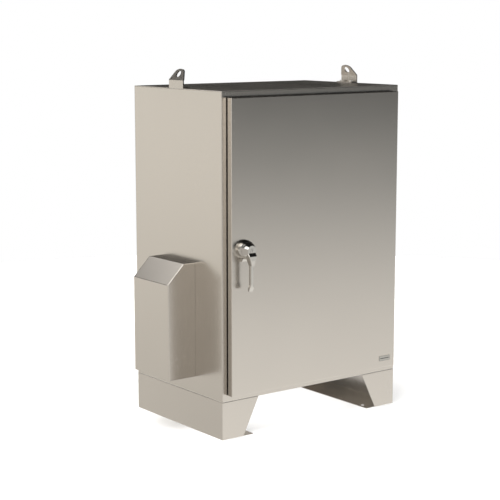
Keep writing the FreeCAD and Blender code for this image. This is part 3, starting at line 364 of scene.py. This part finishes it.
def wires(name, material, radius, routes):
    """Insulated wires along smooth curves, fixed at both ends."""
    curve = bpy.data.curves.new(name, "CURVE")
    curve.dimensions = "3D"
    curve.bevel_depth = radius
    curve.bevel_resolution = 3
    curve.resolution_u = 8
    curve.use_fill_caps = True
    for route in routes:
        spline = curve.splines.new("NURBS")
        spline.points.add(len(route) - 1)
        for point, spot in zip(spline.points, route):
            point.co = (*spot, 1)
        spline.order_u = 3
        spline.use_endpoint_u = True
    curve.materials.append(material)
    piece = bpy.data.objects.new(name, curve)
    bpy.context.scene.collection.objects.link(piece)
    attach(piece, "cabinet")


# Wiring ducts: bottom and top of the two level ones, the first slot and the slots' spacing, and the middle
# and top of the upright one on the left. Wires enter a duct at WIRE_Y and end IN_DUCT inside its edge, and
# they keep the share OFF_MIDDLE of their distance from the slot's middle.
UPPER_DUCT = (0.840, 0.880)
LOWER_DUCT = (0.555, 0.595)
FIRST_SLOT_X = -0.292
SLOT_PITCH = 0.020
LEFT_DUCT_X = -0.330
LEFT_DUCT_TOP = 1.260
WIRE_Y = 0.222
IN_DUCT = 0.010
OFF_MIDDLE = 0.25


def into_duct(x, y, z, duct):
    """Straight out of a terminal, over to the nearest slot and straight into the duct."""
    slot = FIRST_SLOT_X + SLOT_PITCH * round((x - FIRST_SLOT_X) / SLOT_PITCH)
    slot += (x - slot) * OFF_MIDDLE
    end = duct[1] - IN_DUCT if z > duct[1] else duct[0] + IN_DUCT
    third = (end - z) / 3
    return [(x, y, z), (x, y, z + third), (slot, WIRE_Y, end - third), (slot, WIRE_Y, end)]


def main_breaker_details():
    """Terminal screws, load wires down to the duct, supply wires over the top, a plate and a trip button."""
    low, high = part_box("main_breaker")
    middle = (low[0] + high[0]) / 2
    front = low[1]
    pole_pitch = 0.044
    poles = [middle + i * pole_pitch for i in (-1, 0, 1)]
    screws("main_breaker_screws", poles, low, high, inset=0.020, depth=0.202, radius=0.0078)

    wire_radius, wire_y, in_breaker = 0.0038, 0.220, 0.004
    wires("main_load_wires", wire_black, wire_radius,
          routes=[into_duct(x, wire_y, low[2] + in_breaker, UPPER_DUCT) for x in poles])
    # each supply wire arches over to the left duct, higher than the one before and beside it in the duct
    side_step, depth_step, rise_step = 0.010, 0.009, 0.012
    clearance, bend, crown, in_left_duct = 0.030, 0.02, 0.016, 0.03
    over = []
    for i, x in enumerate(poles):
        end_x = LEFT_DUCT_X + side_step * (i - 1)
        end_y = WIRE_Y + depth_step * (1 - i)
        rise = high[2] + clearance + rise_step * i
        over.append([(x, wire_y, high[2] - in_breaker), (x, wire_y, rise), (x - bend, wire_y, rise + crown),
                     (end_x + bend, end_y, rise + crown), (end_x, end_y, rise),
                     (end_x, end_y, LEFT_DUCT_TOP - in_left_duct)])
    wires("main_supply_wires", wire_black, wire_radius, routes=over)

    plate_span = (middle + 0.018, middle + 0.058)
    plate_bottom, plate_top = 1.105, 1.155
    blank_plates("main_breaker_plate", [plate_span], (plate_bottom, plate_top), front, proud=0.0006)
    button("main_breaker_button", button_plastic, (middle - 0.038, front, plate_bottom), radius=0.005,
           height=0.003)


def branch_details():
    """Screws, outgoing wires, a comb bar over the top with its feed, and markers on the small breakers."""
    low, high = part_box("branch_breakers")
    first_middle, pitch = 0.0089, 0.0184
    places = [low[0] + first_middle + pitch * i for i in range(BRANCHES)]
    screws("branch_screws", places, low, high, inset=0.010, depth=0.2145, radius=0.0027)
    wire_y, in_breaker = 0.225, 0.001
    for name, material, chosen in (("branch_wires_red", wire_red, places[::2]),
                                   ("branch_wires_black", wire_black, places[1::2])):
        wires(name, material, radius=0.0017,
              routes=[into_duct(x, wire_y, low[2] + in_breaker, UPPER_DUCT) for x in chosen])

    comb_inset, comb_front, comb_back, comb_bottom, comb_top = 0.002, 0.209, 0.223, 0.006, 0.022
    half_prong, prong_front, prong_back, prong_bottom, prong_top = 0.003, 0.2155, 0.2175, -0.002, 0.008

    def comb(shape):
        add_plate(shape, (low[0] + comb_inset, comb_front, high[2] + comb_bottom),
                  (high[0] - comb_inset, comb_back, high[2] + comb_top), edge=0.001)

    def prongs(shape):
        for x in places:
            add_plate(shape, (x - half_prong, prong_front, high[2] + prong_bottom),
                      (x + half_prong, prong_back, high[2] + prong_top), edge=0.0003)
    mesh_piece("comb_bar", duct_plastic, "cabinet", comb)
    mesh_piece("comb_prongs", copper_metal, "cabinet", prongs)

    # the feed comes up from a slot beside the breakers and turns into the comb bar's end
    feed_slot, comb_middle_y, comb_middle = 15, 0.216, high[2] + 0.014
    feed_x = FIRST_SLOT_X + feed_slot * SLOT_PITCH
    wires("comb_feed", wire_black, radius=0.0026, routes=[
        [(feed_x, WIRE_Y, UPPER_DUCT[1] - IN_DUCT), (feed_x, WIRE_Y, comb_middle - 0.02),
         (feed_x + 0.002, comb_middle_y, comb_middle), (low[0] - 0.008, comb_middle_y, comb_middle),
         (low[0] + 0.006, comb_middle_y, comb_middle)]])
    blank_plates("branch_markers", around(places, 0.006), heights=(0.9985, 1.0055), front=low[1])


def contactor_details():
    """Screws, wires up and down, and blank markers on the contactors."""
    low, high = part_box("contactors")
    middles, terminal_pitch = (-0.230, -0.178), 0.014
    places = [x + dx for x in middles for dx in (-terminal_pitch, 0, terminal_pitch)]
    screws("contactor_screws", places, low, high, inset=0.009, depth=0.2045, radius=0.0035)
    wire_y, in_contactor = 0.215, 0.001
    up = [into_duct(x, wire_y, high[2] - in_contactor, UPPER_DUCT) for x in places]
    down = [into_duct(x, wire_y, low[2] + in_contactor, LOWER_DUCT) for x in places]
    wires("contactor_wires", wire_black, radius=0.0021, routes=up + down)
    blank_plates("contactor_markers", around(middles, 0.014), heights=(0.7135, 0.7215), front=low[1])


def supply_details():
    """Wires from the power supply's front terminals, a blank plate and a small lamp."""
    low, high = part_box("power_supply")
    front, bottom = low[1], low[2]
    count, first_terminal, pitch, red_from = 5, 0.0115, 0.010, 3
    routes = []
    for i in range(count):
        x = low[0] + first_terminal + pitch * i
        end = into_duct(x, WIRE_Y, bottom, LOWER_DUCT)[-1]
        # out of the front, down past the lower edge and back under it to the duct
        routes.append([(x, front + 0.006, bottom + 0.012), (x, front - 0.012, bottom + 0.010),
                       (x, front - 0.010, bottom - 0.028), (x, front + 0.030, bottom - 0.030),
                       (end[0], WIRE_Y, bottom - 0.026), end])
    wires("supply_wires_blue", wire_blue, radius=0.0013, routes=routes[:red_from])
    wires("supply_wires_red", wire_red, radius=0.0013, routes=routes[red_from:])
    inset = 0.008
    blank_plates("supply_plate", [(low[0] + inset, high[0] - inset)], heights=(0.690, 0.730), front=front)
    button("supply_lamp", wire_green, (low[0] + 0.012, front, 0.745), radius=0.0025, height=0.0015)


def terminal_details():
    """Screws, control wires and markers on the terminal row, earth wires to the copper bar and its lead."""
    low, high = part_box("terminal_blocks")
    count, first_middle, pitch = 20, 0.0059, 0.012
    places = [low[0] + first_middle + pitch * i for i in range(count)]
    screws("terminal_screws", places, low, high, inset=0.008, depth=0.2265, radius=0.0027)
    wire_y, in_terminal = 0.236, 0.001
    for name, material, chosen in (("terminal_wires_blue", wire_blue, places[:8]),
                                   ("terminal_wires_red", wire_red, places[8:14]),
                                   ("terminal_wires_black", wire_black, places[14:])):
        wires(name, material, radius=0.0012,
              routes=[into_duct(x, wire_y, high[2] - in_terminal, LOWER_DUCT) for x in chosen])
    blank_plates("terminal_markers", around(places, 0.0045), heights=(0.4155, 0.4245), front=low[1],
                 proud=0.0004)

    # every fourth terminal goes down to the copper bar
    bar_low, bar_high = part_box("ground_bar")
    first_end_x, end_pitch, end_y, straight, in_bar = -0.080, 0.020, 0.2425, 0.035, 0.006
    earths = []
    for i, x in enumerate(places[3::4]):
        end_x = first_end_x + end_pitch * i
        earths.append([(x, wire_y, low[2] + in_terminal), (x, wire_y, low[2] - straight),
                       (end_x, end_y, bar_high[2] + straight), (end_x, end_y, bar_high[2] - in_bar)])
    wires("earth_wires", wire_green, radius=0.0016, routes=earths)

    # the lead leaves the bar's end level and falls to just above the floor pan, where it ends at the stud's X
    # but well behind the stud
    stud_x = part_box("ground_stud")[1][0] - 0.003
    bar_z, floor_y, floor_z = 0.275, 0.200, 0.166
    wires("earth_lead", wire_green, radius=0.003, routes=[
        [(bar_low[0] + 0.006, 0.242, bar_z), (bar_low[0] - 0.030, 0.240, bar_z),
         (bar_low[0] - 0.070, 0.225, 0.240), (stud_x + 0.070, floor_y, 0.172),
         (stud_x + 0.020, floor_y, floor_z), (stud_x, floor_y, floor_z)]])


def fan_lead():
    """The fan's supply lead, from the housing's rear side along the wall into the left duct."""
    low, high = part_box("fan_housing")
    slot_z, slot_x = 0.538, -0.344
    wires("fan_lead", wire_black, radius=0.0022, routes=[
        [(low[0] + 0.004, high[1] - 0.006, 0.470), (low[0] + 0.006, high[1] + 0.020, 0.480),
         (low[0] + 0.008, high[1] + 0.080, slot_z), (low[0] + 0.050, WIRE_Y, slot_z),
         (slot_x, WIRE_Y, slot_z)]])


def label_details():
    """A thin raised rim and one plain bar on the door's blank plate."""
    low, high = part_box("label_plate")
    front = low[1]
    rim, inset, rim_lift = 0.0012, 0.0008, 0.0003
    bar_inset, half_bar, bar_lift = 0.006, 0.0018, 0.0002
    sunk, edge = 0.0001, 0.0001

    def border(shape):
        left, right = low[0] + inset, high[0] - inset
        bottom, top = low[2] + inset, high[2] - inset
        for x0, x1, z0, z1 in ((left, right, bottom, bottom + rim), (left, right, top - rim, top),
                               (left, left + rim, bottom + rim, top - rim),
                               (right - rim, right, bottom + rim, top - rim)):
            add_plate(shape, (x0, front - rim_lift, z0), (x1, front + sunk, z1), edge)

    def bar(shape):
        middle = (low[2] + high[2]) / 2
        add_plate(shape, (low[0] + bar_inset, front - bar_lift, middle - half_bar),
                  (high[0] - bar_inset, front + sunk, middle + half_bar), edge)
    mesh_piece("label_rim", label_rim_metal, "door", border)
    mesh_piece("label_bar", label_ink, "door", bar)


main_breaker_details()
branch_details()
contactor_details()
supply_details()
terminal_details()
fan_lead()
label_details()


# ---------------------------------------------------------------- floor
FLOOR_RADIUS = 4.0
FLOOR_STEP_DEG = 5
FLOOR_TONE = 0.85
# tone of the card under the cabinet that only the metal mirrors: painted shade in place of the shaded floor
# there
PAINTED_SHADE_TONE = 0.8
CARD_LIFT = 0.001


def stage_sheet(name, outline, tone, mirrored):
    """A flat matt sheet lying on the ground; mirrored says whether the metal shows it or the camera does."""
    material, tree, shader = new_material(name)
    shader.inputs["Base Color"].default_value = (tone, tone, tone, 1)
    shader.inputs["Roughness"].default_value = 0.95
    shader.inputs["Specular IOR Level"].default_value = 0.0
    mesh = bpy.data.meshes.new(name)
    level = CARD_LIFT if mirrored else 0
    mesh.from_pydata([(x, y, level) for x, y in outline], [], [tuple(range(len(outline)))])
    mesh.materials.append(material)
    sheet = bpy.data.objects.new(name, mesh)
    sheet.visible_camera = not mirrored
    sheet.visible_diffuse = not mirrored
    sheet.visible_shadow = not mirrored
    sheet.visible_glossy = mirrored
    bpy.context.scene.collection.objects.link(sheet)


def make_floor():
    """A pale round studio floor, and a pale card under the cabinet that only the metal mirrors: painted
    shade, standing in for the shaded floor beneath the cabinet.
    """
    angles = [math.radians(a) for a in range(0, 360, FLOOR_STEP_DEG)]
    outline = [(FLOOR_RADIUS * math.cos(a), FLOOR_RADIUS * math.sin(a)) for a in angles]
    stage_sheet("studio_floor", outline, FLOOR_TONE, False)
    left_low, left_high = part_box("floor_stand_left")
    left, right = left_low[0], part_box("floor_stand_right")[1][0]
    front, back = left_low[1], left_high[1]
    # painted shade: a card that only the metal mirrors, standing in for the shaded floor under the cabinet
    stage_sheet("shade_card", [(left, front), (right, front), (right, back), (left, back)], PAINTED_SHADE_TONE, True)


# ---------------------------------------------------------------- light
def area_light(name, place, target, size, radiance):
    """A rectangular soft light that isn't seen or mirrored; its power follows from its face's radiance."""
    data = bpy.data.lights.new(name, "AREA")
    data.shape = "RECTANGLE"
    data.size, data.size_y = size
    data.energy = radiance * math.pi * size[0] * size[1]
    light = bpy.data.objects.new(name, data)
    light.location = place
    light.rotation_euler = (Vector(target) - Vector(place)).to_track_quat("-Z", "Y").to_euler()
    light.visible_camera = False
    light.visible_glossy = False
    bpy.context.scene.collection.objects.link(light)


def sky_sun(strength, toward, spread_deg):
    """A wide soft sun that stands in this direction; the metal doesn't mirror it."""
    data = bpy.data.lights.new("overhead", "SUN")
    data.energy = strength
    data.angle = math.radians(spread_deg)
    light = bpy.data.objects.new("overhead", data)
    light.rotation_euler = (-Vector(toward)).to_track_quat("-Z", "Y").to_euler()
    light.visible_glossy = False
    bpy.context.scene.collection.objects.link(light)


# Brightness of the surroundings that the metal mirrors: (height of the view line, colour). The parts are the
# back and the front on the right, and the back, the side and the front on the left.
SKY_STRENGTH = 4.0
RIGHT_BACK = ((-0.30, (1.39, 1.36, 1.30)), (-0.20, (1.25, 1.23, 1.18)), (-0.16, (0.98, 0.985, 0.955)),
              (-0.125, (0.62, 0.635, 0.63)), (-0.09, (0.305, 0.32, 0.325)), (-0.05, (0.06, 0.068, 0.075)),
              (0.0, (0.03, 0.035, 0.04)), (0.06, (0.02, 0.02, 0.02)), (0.5, (0.02, 0.02, 0.02)))
RIGHT_FRONT = RIGHT_BACK[:-1] + ((0.22, (0.02, 0.02, 0.02)), (0.34, (0.12, 0.115, 0.11)),
                                 (0.52, (0.12, 0.115, 0.11)), (0.62, (0.02, 0.02, 0.02)))
LEFT_BACK = ((-0.30, (0.81, 0.78, 0.73)), (-0.24, (0.88, 0.85, 0.78)), (-0.16, (1.08, 1.04, 0.96)),
             (-0.08, (1.26, 1.22, 1.13)), (0.0, (1.32, 1.28, 1.19)), (0.04, (1.05, 1.02, 0.96)),
             (0.10, (0.2, 0.19, 0.18)), (0.5, (0.1, 0.1, 0.1)))
LEFT_SIDE = ((-0.30, (0.80, 0.755, 0.70)), (0.40, (0.80, 0.755, 0.70)), (0.5, (0.3, 0.29, 0.28)),
             (0.62, (0.05, 0.05, 0.05)))
LEFT_FRONT = ((-0.60, (0.72, 0.69, 0.64)), (-0.30, (0.78, 0.75, 0.70)), (-0.18, (0.82, 0.79, 0.735)),
              (-0.14, (0.98, 0.94, 0.88)), (-0.10, (1.4, 1.35, 1.26)), (-0.07, (2.0, 1.93, 1.82)),
              (-0.03, (2.8, 2.71, 2.58)), (0.05, (2.7, 2.61, 2.48)), (0.12, (1.2, 1.16, 1.09)),
              (0.34, (1.1, 1.06, 1.0)), (0.45, (0.3, 0.29, 0.28)), (0.6, (0.05, 0.05, 0.05)))

# A fade is (axis of the view line, where the next part starts to show, where it shows fully).
TO_LEFT = (("X", -0.1, -0.5),)
TO_LEFT_SIDE = (("Y", 0.5, 0.25),)
TO_LEFT_FRONT = (("Y", -0.35, -0.6),)
TO_RIGHT_FRONT = (("Y", -0.1, -0.4),)

# soft lights high up: (colour, fades)
FRONT_LIGHT = ((3.4, 3.35, 3.25),
               (("X", -0.2, -0.35), ("Y", 0.1, -0.05), ("Z", 0.40, 0.48), ("Z", 0.92, 0.86)))
BACK_LIGHT = ((2.6, 2.55, 2.46), (("Y", 0.15, 0.3), ("Z", 0.53, 0.62), ("X", 0.25, 0.05)))


def sky_colour(colour):
    """A colour as it is before the surroundings' strength multiplies it."""
    return tuple(c / SKY_STRENGTH for c in colour) + (1,)


def tone_ramp(tree, value, stops):
    """Colour by the view line's height: value is 0 to 1, the stops' heights are -1 to 1."""
    tones = tree.nodes.new("ShaderNodeValToRGB")
    tones.color_ramp.elements.remove(tones.color_ramp.elements[1])
    for i, (level, colour) in enumerate(stops):
        place = 0.5 + level / 2
        stop = tones.color_ramp.elements[0] if i == 0 else tones.color_ramp.elements.new(place)
        stop.position = place
        stop.color = sky_colour(colour)
    tree.links.new(value, tones.inputs["Fac"])
    return tones.outputs["Color"]


def within(tree, axes, fades):
    """1 where every fade has passed its end, 0 before any start; axes holds the X, Y and Z sockets."""
    total = None
    for axis, start, end in fades:
        rising = start < end
        low, high = min(start, end), max(start, end)
        share = ramp(tree, axes[axis], 0 if rising else 1, 1 if rising else 0, low, high)
        total = share if total is None else combined(tree, "MULTIPLY", total, share)
    return total


def make_world():
    """White to the camera; lit and mirrored surroundings have the tones above, by direction and height."""
    world = bpy.data.worlds.new("studio")
    bpy.context.scene.world = world
    world.use_nodes = True
    tree = world.node_tree
    tree.nodes.clear()
    output = tree.nodes.new("ShaderNodeOutputWorld")
    path = tree.nodes.new("ShaderNodeLightPath")
    coords = tree.nodes.new("ShaderNodeTexCoord")
    separate = tree.nodes.new("ShaderNodeSeparateXYZ")
    tree.links.new(coords.outputs["Generated"], separate.inputs[0])
    axes = separate.outputs
    height = ramp(tree, axes["Z"], 0, 1, start=-1, end=1)

    left = mixed(tree, within(tree, axes, TO_LEFT_SIDE), tone_ramp(tree, height, LEFT_BACK),
                 tone_ramp(tree, height, LEFT_SIDE))
    left = mixed(tree, within(tree, axes, TO_LEFT_FRONT), left, tone_ramp(tree, height, LEFT_FRONT))
    right = mixed(tree, within(tree, axes, TO_RIGHT_FRONT), tone_ramp(tree, height, RIGHT_BACK),
                  tone_ramp(tree, height, RIGHT_FRONT))
    colour = mixed(tree, within(tree, axes, TO_LEFT), right, left)
    for light, fades in (FRONT_LIGHT, BACK_LIGHT):
        colour = mixed(tree, within(tree, axes, fades), colour, sky_colour(light))

    seen = tree.nodes.new("ShaderNodeBackground")
    seen.inputs["Color"].default_value = (1, 1, 1, 1)
    mirrored = tree.nodes.new("ShaderNodeBackground")
    mirrored.inputs["Strength"].default_value = SKY_STRENGTH
    tree.links.new(colour, mirrored.inputs["Color"])
    choice = tree.nodes.new("ShaderNodeMixShader")
    tree.links.new(path.outputs["Is Camera Ray"], choice.inputs[0])
    tree.links.new(mirrored.outputs[0], choice.inputs[1])
    tree.links.new(seen.outputs[0], choice.inputs[2])
    tree.links.new(choice.outputs[0], output.inputs["Surface"])


# ---------------------------------------------------------------- camera
CAMERA_PLACE = (-3.5622, -4.5653, 1.6227)
CAMERA_DIP_DEG = 9.275
CAMERA_TURN_DEG = -37.267
SENSOR_MM = 36.0
LENS_MM = 99.66


def make_camera():
    """The camera at the front left, looking slightly down."""
    data = bpy.data.cameras.new("camera")
    data.sensor_width = SENSOR_MM
    data.lens = LENS_MM
    camera = bpy.data.objects.new("camera", data)
    camera.location = CAMERA_PLACE
    camera.rotation_euler = (math.radians(90 - CAMERA_DIP_DEG), 0, math.radians(CAMERA_TURN_DEG))
    bpy.context.scene.collection.objects.link(camera)
    bpy.context.scene.camera = camera


make_floor()
make_world()
sky_sun(strength=3.4, toward=(-0.1, -0.1, 1.0), spread_deg=40)
area_light("under_fill", place=(0, 0, 0.14), target=(0, 0, 0), size=(0.96, 0.62), radiance=1.2)
make_camera()
bpy.context.scene.view_settings.view_transform = "Standard"
